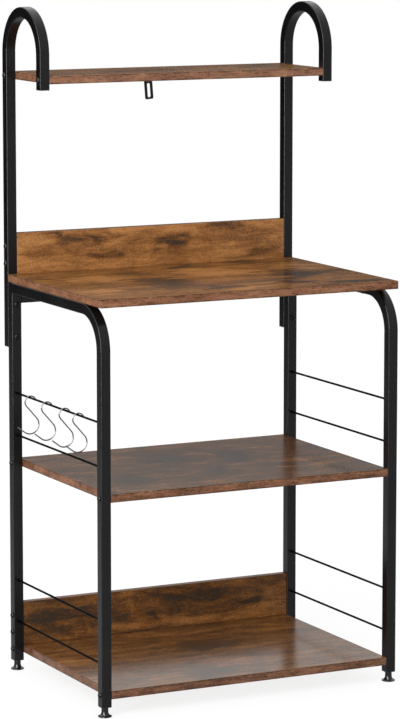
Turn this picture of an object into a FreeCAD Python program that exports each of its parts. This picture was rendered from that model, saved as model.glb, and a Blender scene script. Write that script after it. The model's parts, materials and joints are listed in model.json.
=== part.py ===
import FreeCAD, Part
import math
import os
import Sketcher
from types import SimpleNamespace
from FreeCAD import Placement, Rotation, Vector

# Kitchen shelving unit of bent square steel tube with wooden boards.
# +Z is up, the front faces -Y, and +X is to the right as seen from the front.
# The origin is on the floor, below the middle of the overall width and depth.
# All lengths are in millimetres.

DIMENSIONS = {
    # Whole frame
    "overall_width": 600,
    "frame_depth": 410,
    "arch_crown_height": 1247.5,
    "worktop_height": 750,
    "middle_shelf_height": 403,
    "bottom_shelf_height": 47.5,
    "top_shelf_depth": 173.5,
    "top_shelf_rise": 26,
    # Square tube
    "tube_side": 19,
    "tube_wall": 1,
    "tube_corner_radius": 1.5,
    "rail_bend_radius": 70,
    "crossbar_drop": 19,
    "post_overlap": 122,
    "arch_drop": 147.5,
    # Boards
    "board_thickness": 15,
    "board_edge_radius": 1,
    "back_board_height": 82,
    "upper_back_board_lap": 6,
    # Guard wires
    "guard_wire_diameter": 4,
    "low_guard_rise": 46,
    "high_guard_rise": 125,
    # Plugs in the ends of the tubes
    "plug_clearance": 0.1,
    "plug_flange": 1.5,
    "insert_depth": 16,
    "cap_depth": 12,
    # Levelling feet
    "foot_height": 18,
    "foot_base_diameter": 25,
    "foot_rim": 2.5,
    "foot_neck_diameter": 12.5,
    "foot_neck_length": 7,
    "stud_diameter": 8,
    "stud_seat": 4,
    "thread_chamfer": 0.8,
    "thread_clearance": 0.06,
    # Screws at the ends of the boards
    "end_screw_diameter": 5,
    "end_screw_grip": 35,
    "end_screw_head_diameter": 10.5,
    "end_screw_head_height": 3,
    "end_screw_socket": 3,
    "end_screw_socket_depth": 1.6,
    "back_board_screw_spacing": 32,
    # Screws under the worktop
    "worktop_screw_diameter": 4,
    "worktop_screw_inset": 35,
    "worktop_screw_cover": 4,
    "worktop_screw_head_diameter": 8,
    "worktop_screw_head_height": 2.4,
    "worktop_screw_socket": 2.5,
    "worktop_screw_socket_depth": 1.3,
    # Bolts and nuts between posts and rear legs
    "bolt_diameter": 6,
    "lower_bolt_rise": 21,
    "bolt_head_diameter": 11,
    "bolt_head_height": 3.3,
    "bolt_socket": 4,
    "bolt_socket_depth": 1.8,
    "bolt_overrun": 1.5,
    "nut_width": 10,
    "nut_thickness": 5,
    # Wall strap and its screw
    "strap_width": 17,
    "strap_thickness": 1.5,
    "strap_top_margin": 5.5,
    "strap_drop": 54,
    "strap_corner_radius": 3,
    "strap_slot_width": 6,
    "strap_slot_length": 27,
    "strap_slot_margin": 3.5,
    "strap_offset": 2,
    "strap_screw_diameter": 4,
    "strap_screw_grip": 20,
    "strap_screw_head_diameter": 8.5,
    "strap_screw_head_height": 2.4,
    "strap_screw_socket": 2.5,
    "strap_screw_socket_depth": 1.3,
    "running_clearance": 0.08,
    # S-hooks
    "hook_wire_diameter": 2.5,
    "hook_clearance": 0.3,
    "hook_upper_radius": 11,
    "hook_lower_radius": 17.5,
    "hook_centre_distance": 42.3,
    "hook_lip_rise": 3.8,
    "hook_tip_drop": 14.3,
    "hook_tip_length": 17,
}

# Places of the four hooks along the guard wire, as shares of the frame's depth from its middle
HOOK_PLACE_SHARES = (-0.215, -0.07, 0.122, 0.305)
# Place of the upper bolt, as a share of the way from the lower bolt to the underside of the worktop
UPPER_BOLT_SHARE = 0.6
# How much of a screw head's height is its straight rim, and of its width its flat top
HEAD_RIM_SHARE = 0.25
HEAD_FLAT_SHARE = 0.55
# How far the strap hangs from plumb, in degrees about +Y
STRAP_LEAN_DEGREES = -4.5

SIDES = {"left": -1, "right": 1}
PROFILE_UP = Vector(0, 0, 1)

doc = FreeCAD.newDocument("kitchen_shelving_unit")


class Size:
    """A number together with the sheet expression that gives it."""

    def __init__(self, number, text):
        self.number = number
        self.text = text

    def __add__(self, other):
        return combine(self, "+", other)

    def __radd__(self, other):
        return combine(other, "+", self)

    def __sub__(self, other):
        return combine(self, "-", other)

    def __rsub__(self, other):
        return combine(other, "-", self)

    def __mul__(self, other):
        return combine(self, "*", other)

    def __rmul__(self, other):
        return combine(other, "*", self)

    def __truediv__(self, other):
        return combine(self, "/", other)

    def __neg__(self):
        return combine(0, "-", self)


def as_size(value):
    """Wraps a plain factor or zero as a Size."""
    return value if isinstance(value, Size) else Size(value, repr(value))


def combine(left, sign, right):
    """Joins two sizes by one of the four signs."""
    left = as_size(left)
    right = as_size(right)
    results = {
        "+": lambda: left.number + right.number,
        "-": lambda: left.number - right.number,
        "*": lambda: left.number * right.number,
        "/": lambda: left.number / right.number,
    }
    return Size(results[sign](), f"({left.text} {sign} {right.text})")


def square_root(size):
    """The square root of a size."""
    return Size(math.sqrt(size.number), f"sqrt({size.text})")


def fill_sheet():
    """Writes the driving dimensions into a sheet and returns them as sizes."""
    sheet = doc.addObject("Spreadsheet::Sheet", "Sizes")
    for row, (alias, number) in enumerate(DIMENSIONS.items(), start=1):
        sheet.set(f"A{row}", alias.replace("_", " "))
        sheet.set(f"B{row}", str(number))
        sheet.setAlias(f"B{row}", alias)
    doc.recompute()
    sizes = {alias: Size(float(sheet.get(alias)), f"Sizes.{alias}") for alias in DIMENSIONS}
    return SimpleNamespace(**sizes)


dim = fill_sheet()

# Places that follow from the driving dimensions
tube_half = dim.tube_side / 2
tube_bore = dim.tube_side - dim.tube_wall * 2
bore_corner_radius = dim.tube_corner_radius - dim.tube_wall
outer_x = dim.overall_width / 2
inner_x = outer_x - dim.tube_side
leg_x = outer_x - tube_half
overall_depth = dim.frame_depth + dim.tube_side
front_y = -overall_depth / 2
rear_y = overall_depth / 2
front_leg_y = front_y + tube_half
leg_rear_y = front_y + dim.frame_depth
rear_leg_y = leg_rear_y - tube_half
rear_leg_front_y = leg_rear_y - dim.tube_side
post_y = rear_y - tube_half
arch_radius = (dim.top_shelf_depth - dim.tube_side) / 2
arch_tip_y = post_y - arch_radius * 2
rail_top = dim.worktop_height - dim.board_thickness
rail_z = rail_top - tube_half
post_bottom = rail_top - dim.post_overlap
arch_tip_z = dim.arch_crown_height - dim.arch_drop
arch_spring_z = dim.arch_crown_height - tube_half - arch_radius
leg_tube_bottom = dim.foot_height + dim.plug_flange
post_tube_bottom = post_bottom + dim.plug_flange
tip_tube_bottom = arch_tip_z + dim.plug_flange
crossbar_z = rail_top - dim.crossbar_drop - tube_half
top_shelf_z = arch_tip_z + dim.top_shelf_rise
board_half = dim.board_thickness / 2
shelf_screw_levels = (dim.bottom_shelf_height - board_half, dim.middle_shelf_height - board_half)
top_shelf_screw_z = top_shelf_z - board_half
board_screw_step = dim.back_board_screw_spacing / 2
lower_board_mid_z = dim.bottom_shelf_height + dim.back_board_height / 2
lower_board_screw_levels = (lower_board_mid_z - board_screw_step, lower_board_mid_z + board_screw_step)
upper_board_z = dim.worktop_height - dim.upper_back_board_lap
upper_board_mid_z = upper_board_z + dim.back_board_height / 2
upper_board_screw_levels = (upper_board_mid_z - board_screw_step, upper_board_mid_z + board_screw_step)
upper_board_y = leg_rear_y + board_half
lower_bolt_z = post_bottom + dim.lower_bolt_rise
bolt_levels = (lower_bolt_z, lower_bolt_z + (rail_top - lower_bolt_z) * UPPER_BOLT_SHARE)
end_screw_hole = dim.end_screw_diameter + dim.running_clearance * 2
bolt_hole = dim.bolt_diameter + dim.running_clearance * 2
worktop_screw_hole = dim.worktop_screw_diameter + dim.running_clearance * 2
strap_screw_hole = dim.strap_screw_diameter + dim.running_clearance * 2
thread_hole = dim.stud_diameter + dim.thread_clearance * 2
rail_start_y = front_leg_y + dim.rail_bend_radius
worktop_screw_places = (rail_start_y + dim.worktop_screw_inset, rear_leg_front_y - dim.worktop_screw_inset)


def place(made, x=0, y=0, z=0, rotation=None):
    """Turns an object, then binds its place to the sheet."""
    if rotation is not None:
        made.Placement = Placement(Vector(), rotation)
    for axis, size in (("x", x), ("y", y), ("z", z)):
        made.setExpression(f"Placement.Base.{axis}", as_size(size).text)
    return made


def new_body(name):
    """An empty body that carries its sub-part's name."""
    body = doc.addObject("PartDesign::Body", name)
    body.Label = name
    return body


def new_sketch(body, role, height=None):
    """A sketch on one of the body's own origin planes, raised along its normal if asked."""
    sketch = body.newObject("Sketcher::SketchObject", "Sketch")
    plane = next(feature for feature in body.Origin.OriginFeatures if feature.Role == role)
    sketch.AttachmentSupport = [(plane, "")]
    sketch.MapMode = "FlatFace"
    if height is not None:
        sketch.setExpression("AttachmentOffset.Base.z", height.text)
    return sketch


def bind(sketch, size, kind, *geometry):
    """Adds a dimension to a sketch and ties it to the sheet."""
    index = sketch.addConstraint(Sketcher.Constraint(kind, *geometry, size.number))
    sketch.setExpression(f"Constraints[{index}]", size.text)


def pin_point(sketch, geometry, point, x, y):
    """Ties a point of a sketch to its distances from the sketch's origin."""
    for size, kind, level in ((x, "DistanceX", "Vertical"), (y, "DistanceY", "Horizontal")):
        if isinstance(size, Size):
            bind(sketch, size, kind, -1, 1, geometry, point)
        else:
            sketch.addConstraint(Sketcher.Constraint(level, -1, 1, geometry, point))


def arc_between(start, end, radius):
    """The arc of under half a turn from start to end; a positive radius turns left."""
    chord = end - start
    middle = (start + end) * 0.5
    reach = math.sqrt(radius * radius - chord.Length * chord.Length / 4)
    leftward = Vector(-chord.y, chord.x, 0).normalize()
    centre = middle + leftward * math.copysign(reach, radius)
    first, last = (start, end) if radius > 0 else (end, start)
    angles = [math.atan2(spot.y - centre.y, spot.x - centre.x) for spot in (first, last)]
    return Part.ArcOfCircle(Part.Circle(centre, PROFILE_UP, abs(radius)), angles[0], angles[1])


def draw(sketch, corners, closed):
    """Draws lines through the corners and ties each corner to the sheet.

    A corner is a pair of sizes. A third size bends the edge that leaves it to an arc of that radius.
    Returns the number of edges drawn.
    """
    count = len(corners) if closed else len(corners) - 1
    spots = [Vector(as_size(corner[0]).number, as_size(corner[1]).number, 0) for corner in corners]
    ends = []
    for index in range(count):
        start = spots[index]
        end = spots[(index + 1) % len(spots)]
        bend = corners[index][2] if len(corners[index]) > 2 else None
        if bend is None:
            edge = sketch.addGeometry(Part.LineSegment(start, end))
            ends.append((edge, 1, 2))
        else:
            edge = sketch.addGeometry(arc_between(start, end, bend.number))
            ends.append((edge, 1, 2) if bend.number > 0 else (edge, 2, 1))
    for index, (edge, head, tail) in enumerate(ends):
        pin_point(sketch, edge, head, corners[index][0], corners[index][1])
        if index + 1 < len(ends) or closed:
            follower = ends[(index + 1) % len(ends)]
            sketch.addConstraint(Sketcher.Constraint("Coincident", edge, tail, follower[0], follower[1]))
        else:
            pin_point(sketch, edge, tail, corners[-1][0], corners[-1][1])
        if len(corners[index]) > 2:
            bend = corners[index][2]
            bind(sketch, bend if bend.number > 0 else -bend, "Radius", edge)
    return count


def draw_rounded_square(sketch, side, radius):
    """A square with rounded corners about the sketch's origin."""
    half = side / 2
    flat = half - radius
    draw(
        sketch,
        [
            (-flat, -half),
            (flat, -half, radius),
            (half, -flat),
            (half, flat, radius),
            (flat, half),
            (-flat, half, radius),
            (-half, flat),
            (-half, -flat, radius),
        ],
        closed=True,
    )


def draw_hexagon(sketch, width):
    """A hexagon of the given width across its flats, about the sketch's origin."""
    corner = width / math.sqrt(3)
    half = width / 2
    draw(
        sketch,
        [
            (0, -corner),
            (half, -corner / 2),
            (half, corner / 2),
            (0, corner),
            (-half, corner / 2),
            (-half, -corner / 2),
        ],
        closed=True,
    )


def extrude(body, sketch, length, reverse=False):
    """Pads a sketch by a length."""
    pad = body.newObject("PartDesign::Pad", "Pad")
    pad.Profile = sketch
    pad.setExpression("Length", length.text)
    pad.Reversed = reverse
    sketch.Visibility = False
    return pad


def spin(body, sketch):
    """Turns a sketch once around its upright axis."""
    revolution = body.newObject("PartDesign::Revolution", "Revolution")
    revolution.Profile = sketch
    revolution.ReferenceAxis = (sketch, ["V_Axis"])
    revolution.Angle = 360
    return revolution


def cut_through(body, sketch):
    """Cuts a sketch through the whole body, both ways."""
    pocket = body.newObject("PartDesign::Pocket", "Pocket")
    pocket.Profile = sketch
    pocket.Type = "ThroughAll"
    pocket.Midplane = True
    return pocket


def cut_blind(body, sketch, depth, reverse=False):
    """Cuts a sketch into the body to a depth, against its normal unless reversed."""
    pocket = body.newObject("PartDesign::Pocket", "Pocket")
    pocket.Profile = sketch
    pocket.setExpression("Length", depth.text)
    pocket.Reversed = reverse
    return pocket


def draw_holes(sketch, spots, diameter):
    """Circles of one diameter at the given spots."""
    for x, y in spots:
        centre = Vector(as_size(x).number, as_size(y).number, 0)
        circle = sketch.addGeometry(Part.Circle(centre, PROFILE_UP, diameter.number / 2))
        pin_point(sketch, circle, 3, x, y)
        bind(sketch, diameter, "Diameter", circle)


def drill_through(body, role, spots, diameter):
    """Round holes right through the body, square to one of its origin planes."""
    sketch = new_sketch(body, role)
    draw_holes(sketch, spots, diameter)
    cut_through(body, sketch)


def straight_tube(body, role, length):
    """A straight square tube that starts at one of the body's origin planes."""
    sketch = new_sketch(body, role)
    draw_rounded_square(sketch, dim.tube_side, dim.tube_corner_radius)
    draw_rounded_square(sketch, tube_bore, bore_corner_radius)
    extrude(body, sketch, length)


def bent_tube(body, corners):
    """A square tube that starts upwards at the body's origin and follows a path in its YZ plane."""
    path = new_sketch(body, "YZ_Plane")
    count = draw(path, corners, closed=False)
    edges = [f"Edge{number + 1}" for number in range(count)]
    profiles = (
        ("PartDesign::AdditivePipe", dim.tube_side, dim.tube_corner_radius),
        ("PartDesign::SubtractivePipe", tube_bore, bore_corner_radius),
    )
    for kind, side, radius in profiles:
        section = new_sketch(body, "XY_Plane")
        draw_rounded_square(section, side, radius)
        pipe = body.newObject(kind, "Pipe")
        pipe.Profile = section
        pipe.Spine = (path, edges)


def front_leg_and_rail(side):
    """A front leg that bends over into the rail under the worktop."""
    body = new_body(f"{side}_front_leg_and_rail")
    upright = rail_z - leg_tube_bottom - dim.rail_bend_radius
    rail_rise = upright + dim.rail_bend_radius
    bent_tube(
        body,
        [
            (0, 0),
            (0, upright, -dim.rail_bend_radius),
            (dim.rail_bend_radius, rail_rise),
            (rear_leg_front_y - front_leg_y, rail_rise),
        ],
    )
    drill_through(body, "YZ_Plane", [(0, z - leg_tube_bottom) for z in shelf_screw_levels], end_screw_hole)
    drill_through(body, "XY_Plane", [(0, y - front_leg_y) for y in worktop_screw_places], worktop_screw_hole)
    return place(body, leg_x * SIDES[side], front_leg_y, leg_tube_bottom)


def rear_leg(side):
    """A straight rear leg, from its foot to the underside of the worktop."""
    body = new_body(f"{side}_rear_leg")
    straight_tube(body, "XY_Plane", rail_top - leg_tube_bottom)
    across = [(0, z - leg_tube_bottom) for z in shelf_screw_levels + lower_board_screw_levels]
    drill_through(body, "YZ_Plane", across, end_screw_hole)
    drill_through(body, "XZ_Plane", [(0, z - leg_tube_bottom) for z in bolt_levels], bolt_hole)
    return place(body, leg_x * SIDES[side], rear_leg_y, leg_tube_bottom)


def rear_crossbar():
    """The tube that ties the two rear legs together below the worktop."""
    body = new_body("rear_crossbar")
    straight_tube(body, "YZ_Plane", inner_x * 2)
    return place(body, -inner_x, rear_leg_y, crossbar_z)


def upper_post(side):
    """A post behind a rear leg that arches forward and comes down to carry the top shelf."""
    body = new_body(f"{side}_upper_post")
    rise = arch_spring_z - post_tube_bottom
    tip_y = -arch_radius * 2
    bent_tube(
        body,
        [
            (0, 0),
            (0, rise, arch_radius),
            (-arch_radius, rise + arch_radius, arch_radius),
            (tip_y, rise),
            (tip_y, tip_tube_bottom - post_tube_bottom),
        ],
    )
    across = [(0, z - post_tube_bottom) for z in upper_board_screw_levels + (top_shelf_screw_z,)]
    across.append((tip_y, top_shelf_screw_z - post_tube_bottom))
    drill_through(body, "YZ_Plane", across, end_screw_hole)
    drill_through(body, "XZ_Plane", [(0, z - post_tube_bottom) for z in bolt_levels], bolt_hole)
    return place(body, leg_x * SIDES[side], post_y, post_tube_bottom)


def board(name, width, depth, height, screw_spots=(), diameter=None, through=False):
    """A board with softened edges, about the middle of its underside.

    The screw spots are holes in both ends, or with through set, holes up into the underside.
    """
    body = new_body(name)
    outline = new_sketch(body, "XY_Plane")
    x = width / 2
    y = depth / 2
    draw(outline, [(-x, -y), (x, -y), (x, y), (-x, y)], closed=True)
    extrude(body, outline, height)
    rounding = body.newObject("PartDesign::Fillet", "Fillet")
    rounding.Base = (body.Group[1], [""])
    rounding.UseAllEdges = True
    rounding.setExpression("Radius", dim.board_edge_radius.text)
    body.Tip = rounding
    if through:
        holes = new_sketch(body, "XY_Plane")
        draw_holes(holes, screw_spots, diameter)
        cut_blind(body, holes, height - dim.worktop_screw_cover, reverse=True)
        return body
    for end, reverse in ((x, False), (-x, True)):
        holes = new_sketch(body, "YZ_Plane", end)
        draw_holes(holes, screw_spots, diameter)
        cut_blind(body, holes, dim.end_screw_grip, reverse)
    return body


def shelf(name, top, front, rear, screw_places):
    """A shelf between the tubes, with a screw hole in each corner's end."""
    depth = rear - front
    middle = (rear + front) / 2
    spots = [(y - middle, board_half) for y in screw_places]
    made = board(name, inner_x * 2, depth, dim.board_thickness, spots, end_screw_hole)
    return place(made, 0, middle, top - dim.board_thickness)


def top_shelf():
    """The narrow top shelf, with a hole in its rear edge for the screw of the wall strap."""
    made = shelf("top_shelf", top_shelf_z, arch_tip_y - tube_half, rear_y, (arch_tip_y, post_y))
    hole = new_sketch(made, "XZ_Plane", -dim.top_shelf_depth / 2)
    draw_holes(hole, [(-dim.strap_offset, board_half)], strap_screw_hole)
    cut_blind(made, hole, dim.strap_screw_grip, reverse=True)
    return made


def worktop():
    """The worktop, which lies on both rails and reaches over them to the sides."""
    middle = (front_y + leg_rear_y) / 2
    spots = [(leg_x * sign, y - middle) for sign in SIDES.values() for y in worktop_screw_places]
    made = board(
        "worktop",
        dim.overall_width,
        dim.frame_depth,
        dim.board_thickness,
        spots,
        worktop_screw_hole,
        through=True,
    )
    return place(made, 0, middle, rail_top)


def back_board(name, middle_y, bottom, screw_y, screw_levels):
    """An upright board between two tubes, with two screw holes in each end."""
    spots = [(screw_y - middle_y, z - bottom) for z in screw_levels]
    made = board(name, inner_x * 2, dim.board_thickness, dim.back_board_height, spots, end_screw_hole)
    return place(made, 0, middle_y, bottom)


def guard_wire(side, bay, level, height):
    """A round wire between a front and a rear leg that keeps things from sliding off a shelf."""
    wire = doc.addObject("Part::Cylinder", f"{side}_{bay}_{level}_guard_wire")
    wire.Label = wire.Name
    wire.setExpression("Radius", (dim.guard_wire_diameter / 2).text)
    wire.setExpression("Height", (rear_leg_front_y - front_leg_y - tube_half).text)
    lying = Rotation(Vector(1, 0, 0), -90)
    return place(wire, leg_x * SIDES[side], front_leg_y + tube_half, height, lying)


def guard_wires():
    """Two wires above each of the two lower shelves, on both sides."""
    bays = {"middle": dim.middle_shelf_height, "bottom": dim.bottom_shelf_height}
    levels = {"low": dim.low_guard_rise, "high": dim.high_guard_rise}
    return [
        guard_wire(side, bay, level, shelf_top + rise)
        for side in SIDES
        for bay, shelf_top in bays.items()
        for level, rise in levels.items()
    ]


def plug(name, depth, hole=None):
    """A plastic plug with a flange that covers the end of a tube; threaded if a hole is given."""
    body = new_body(name)
    flange = new_sketch(body, "XY_Plane")
    draw_rounded_square(flange, dim.tube_side, dim.tube_corner_radius)
    extrude(body, flange, dim.plug_flange)
    stem = new_sketch(body, "XY_Plane")
    draw_rounded_square(stem, tube_bore - dim.plug_clearance * 2, bore_corner_radius)
    extrude(body, stem, dim.plug_flange + depth)
    if hole is not None:
        drill_through(body, "XY_Plane", [(0, 0)], hole)
    return body


def foot_pad(name):
    """A trumpet-shaped foot with a seat for its stud."""
    body = new_body(name)
    base = dim.foot_base_diameter / 2
    rim = dim.foot_rim / 2
    neck = dim.foot_neck_diameter / 2
    neck_z = dim.foot_height - dim.foot_neck_length
    spread = base - rim - neck
    drop = neck_z - dim.foot_rim
    flare = (spread * spread + drop * drop) / (spread * 2)
    seat = thread_hole / 2
    profile = new_sketch(body, "XZ_Plane")
    draw(
        profile,
        [
            (0, 0),
            (base - rim, 0, rim),
            (base, rim, rim),
            (base - rim, dim.foot_rim, -flare),
            (neck, neck_z),
            (neck, dim.foot_height),
            (seat, dim.foot_height),
            (seat, dim.stud_seat),
            (0, dim.stud_seat),
        ],
        closed=True,
    )
    spin(body, profile)
    return body


def foot_stud(name):
    """The threaded stud that stands in a foot and screws up into the leg."""
    body = new_body(name)
    radius = dim.stud_diameter / 2
    length = dim.foot_height + dim.plug_flange + dim.insert_depth - dim.stud_seat
    profile = new_sketch(body, "XZ_Plane")
    draw(
        profile,
        [
            (0, 0),
            (radius, 0),
            (radius, length - dim.thread_chamfer),
            (radius - dim.thread_chamfer, length),
            (0, length),
        ],
        closed=True,
    )
    spin(body, profile)
    return body


def feet():
    """The insert, the foot and its stud at the lower end of each leg."""
    made = []
    for side, sign in SIDES.items():
        for end, y in (("front", front_leg_y), ("rear", rear_leg_y)):
            insert = plug(f"{side}_{end}_leg_insert", dim.insert_depth, thread_hole)
            made.append(place(insert, leg_x * sign, y, dim.foot_height))
            made.append(place(foot_pad(f"{side}_{end}_foot_pad"), leg_x * sign, y, 0))
            made.append(place(foot_stud(f"{side}_{end}_foot_stud"), leg_x * sign, y, dim.stud_seat))
    return made


def end_caps():
    """Caps that close the lower ends of the posts and the tips of their arches."""
    made = []
    for side, sign in SIDES.items():
        for name, y, z in (
            ("post_end_cap", post_y, post_bottom),
            ("arch_tip_cap", arch_tip_y, arch_tip_z),
        ):
            made.append(place(plug(f"{side}_{name}", dim.cap_depth), leg_x * sign, y, z))
    return made


def screw(name, diameter, length, head_diameter, head_height, socket, socket_depth, pointed=True):
    """A round-headed screw with a hexagon socket; its head sits on z = 0 and its shank points down."""
    body = new_body(name)
    radius = diameter / 2
    head = head_diameter / 2
    chamfer = dim.thread_chamfer
    point = [(radius, radius - length)]
    flat_end = [(radius - chamfer, -length), (radius, chamfer - length)]
    profile = new_sketch(body, "XZ_Plane")
    draw(
        profile,
        [
            (0, -length),
            *(point if pointed else flat_end),
            (radius, 0),
            (head, 0),
            (head, head_height * HEAD_RIM_SHARE, head),
            (head * HEAD_FLAT_SHARE, head_height),
            (0, head_height),
        ],
        closed=True,
    )
    spin(body, profile)
    recess = new_sketch(body, "XY_Plane", head_height)
    draw_hexagon(recess, socket)
    cut_blind(body, recess, socket_depth)
    return body


def nut():
    """A plain hexagon nut that lies on z = 0."""
    body = new_body("nut")
    outline = new_sketch(body, "XY_Plane")
    draw_hexagon(outline, dim.nut_width)
    extrude(body, outline, dim.nut_thickness)
    drill_through(body, "XY_Plane", [(0, 0)], bolt_hole)
    return body


def copies(name, master, spots):
    """Copies of one fastener as a group: each spot is a place and the direction its head faces."""
    links = []
    for x, y, z, heading in spots:
        link = doc.addObject("App::Link", "Copy")
        link.LinkedObject = master
        links.append(place(link, x, y, z, Rotation(PROFILE_UP, heading)))
    group = doc.addObject("Part::Compound", name)
    group.Label = name
    group.Links = links
    return group


def end_spots(places):
    """Both outer faces of the unit at each pair of depth and height."""
    return [(outer_x * sign, y, z, Vector(sign, 0, 0)) for sign in SIDES.values() for y, z in places]


def end_screws():
    """The screws that go through the tubes into the ends of the boards."""
    master = screw(
        "end_screw",
        dim.end_screw_diameter,
        dim.tube_side + dim.end_screw_grip,
        dim.end_screw_head_diameter,
        dim.end_screw_head_height,
        dim.end_screw_socket,
        dim.end_screw_socket_depth,
    )
    bottom_z, middle_z = shelf_screw_levels
    legs = (front_leg_y, rear_leg_y)
    places = {
        "bottom_shelf_screws": [(y, bottom_z) for y in legs],
        "middle_shelf_screws": [(y, middle_z) for y in legs],
        "top_shelf_screws": [(y, top_shelf_screw_z) for y in (arch_tip_y, post_y)],
        "lower_back_board_screws": [(rear_leg_y, z) for z in lower_board_screw_levels],
        "upper_back_board_screws": [(post_y, z) for z in upper_board_screw_levels],
    }
    return [copies(name, master, end_spots(pairs)) for name, pairs in places.items()]


def worktop_screws():
    """The screws that hold the worktop, upwards through the rails."""
    master = screw(
        "worktop_screw",
        dim.worktop_screw_diameter,
        dim.tube_side + dim.board_thickness - dim.worktop_screw_cover,
        dim.worktop_screw_head_diameter,
        dim.worktop_screw_head_height,
        dim.worktop_screw_socket,
        dim.worktop_screw_socket_depth,
    )
    down = Vector(0, 0, -1)
    under_rail = rail_top - dim.tube_side
    spots = [(leg_x * sign, y, under_rail, down) for sign in SIDES.values() for y in worktop_screw_places]
    return copies("worktop_screws", master, spots)


def post_bolts():
    """The bolts that hold the posts to the rear legs, with their nuts behind."""
    bolt = screw(
        "post_bolt",
        dim.bolt_diameter,
        dim.tube_side * 2 + dim.nut_thickness + dim.bolt_overrun,
        dim.bolt_head_diameter,
        dim.bolt_head_height,
        dim.bolt_socket,
        dim.bolt_socket_depth,
        pointed=False,
    )
    forward = Vector(0, -1, 0)
    backward = Vector(0, 1, 0)
    places = [(leg_x * sign, z) for sign in SIDES.values() for z in bolt_levels]
    bolts = copies("post_bolts", bolt, [(x, rear_leg_front_y, z, forward) for x, z in places])
    nuts = copies("post_nuts", nut(), [(x, rear_y, z, backward) for x, z in places])
    return [bolts, nuts]


def wall_strap():
    """A flat slotted strap that turns on its screw behind the top shelf."""
    body = new_body("wall_strap")
    half = dim.strap_width / 2
    corner = dim.strap_corner_radius
    top = dim.strap_top_margin
    bottom = -dim.strap_drop
    outline = new_sketch(body, "XZ_Plane")
    draw(
        outline,
        [
            (corner - half, bottom),
            (half - corner, bottom, corner),
            (half, bottom + corner),
            (half, top - corner, corner),
            (half - corner, top),
            (corner - half, top, corner),
            (-half, top - corner),
            (-half, bottom + corner, corner),
        ],
        closed=True,
    )
    extrude(body, outline, dim.strap_thickness, reverse=True)
    drill_through(body, "XZ_Plane", [(0, 0)], strap_screw_hole)
    radius = dim.strap_slot_width / 2
    low = bottom + dim.strap_slot_margin + radius
    high = low + dim.strap_slot_length - dim.strap_slot_width
    slot = new_sketch(body, "XZ_Plane")
    draw(
        slot,
        [
            (radius, low),
            (radius, high, radius),
            (0, high + radius, radius),
            (-radius, high),
            (-radius, low, radius),
            (0, low - radius, radius),
        ],
        closed=True,
    )
    cut_through(body, slot)
    lean = Rotation(Vector(0, 1, 0), STRAP_LEAN_DEGREES)
    return place(body, -dim.strap_offset, rear_y, top_shelf_screw_z, lean)


def wall_strap_screw():
    """The screw that carries the wall strap."""
    made = screw(
        "wall_strap_screw",
        dim.strap_screw_diameter,
        dim.strap_thickness + dim.strap_screw_grip,
        dim.strap_screw_head_diameter,
        dim.strap_screw_head_height,
        dim.strap_screw_socket,
        dim.strap_screw_socket_depth,
    )
    backward = Rotation(PROFILE_UP, Vector(0, 1, 0))
    return place(made, -dim.strap_offset, rear_y + dim.strap_thickness, top_shelf_screw_z, backward)


def s_hook(name, y):
    """A wire hook on the left upper guard wire, leaned until its weight hangs below that wire."""
    body = new_body(name)
    upper = dim.hook_upper_radius
    lower = dim.hook_lower_radius
    apex_z = (dim.guard_wire_diameter + dim.hook_wire_diameter) / 2 + dim.hook_clearance
    upper_z = apex_z - upper
    lower_z = upper_z - dim.hook_centre_distance
    slant_sine = (upper + lower) / dim.hook_centre_distance
    slant_cosine = square_root(1 - slant_sine * slant_sine)
    lip_x = square_root(upper * upper - dim.hook_lip_rise * dim.hook_lip_rise)
    turn_x = -square_root(lower * lower - dim.hook_tip_drop * dim.hook_tip_drop)
    tip_share = dim.hook_tip_length / lower
    path = new_sketch(body, "XZ_Plane")
    count = draw(
        path,
        [
            (lip_x, upper_z + dim.hook_lip_rise, upper),
            (0, apex_z, upper),
            (-upper, upper_z, upper),
            (-upper * slant_cosine, upper_z - upper * slant_sine),
            (lower * slant_cosine, lower_z + lower * slant_sine, -lower),
            (lower, lower_z, -lower),
            (0, lower_z - lower, -lower),
            (turn_x, lower_z - dim.hook_tip_drop),
            (turn_x - dim.hook_tip_drop * tip_share, lower_z - dim.hook_tip_drop - turn_x * tip_share),
        ],
        closed=False,
    )
    section = body.newObject("Sketcher::SketchObject", "Sketch")
    section.AttachmentSupport = [(path, "Edge1")]
    section.MapMode = "NormalToEdge"
    section.MapPathParameter = 0
    draw_holes(section, [(0, 0)], dim.hook_wire_diameter)
    wire = body.newObject("PartDesign::AdditivePipe", "Pipe")
    wire.Profile = section
    wire.Spine = (path, [f"Edge{number + 1}" for number in range(count)])
    doc.recompute()
    weight = body.Shape.CenterOfMass
    lean = math.degrees(math.atan2(weight.x, -weight.z))
    print(f"{name} leans {lean:.2f} degrees to hang in balance")
    hanging = Rotation(Vector(0, 1, 0), lean)
    return place(body, -leg_x, y, dim.middle_shelf_height + dim.high_guard_rise, hanging)


def s_hooks():
    """The four hooks, numbered from the front."""
    middle = (front_y + leg_rear_y) / 2
    return [
        s_hook(f"s_hook_{number}", middle + dim.frame_depth * share)
        for number, share in enumerate(HOOK_PLACE_SHARES, start=1)
    ]


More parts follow.
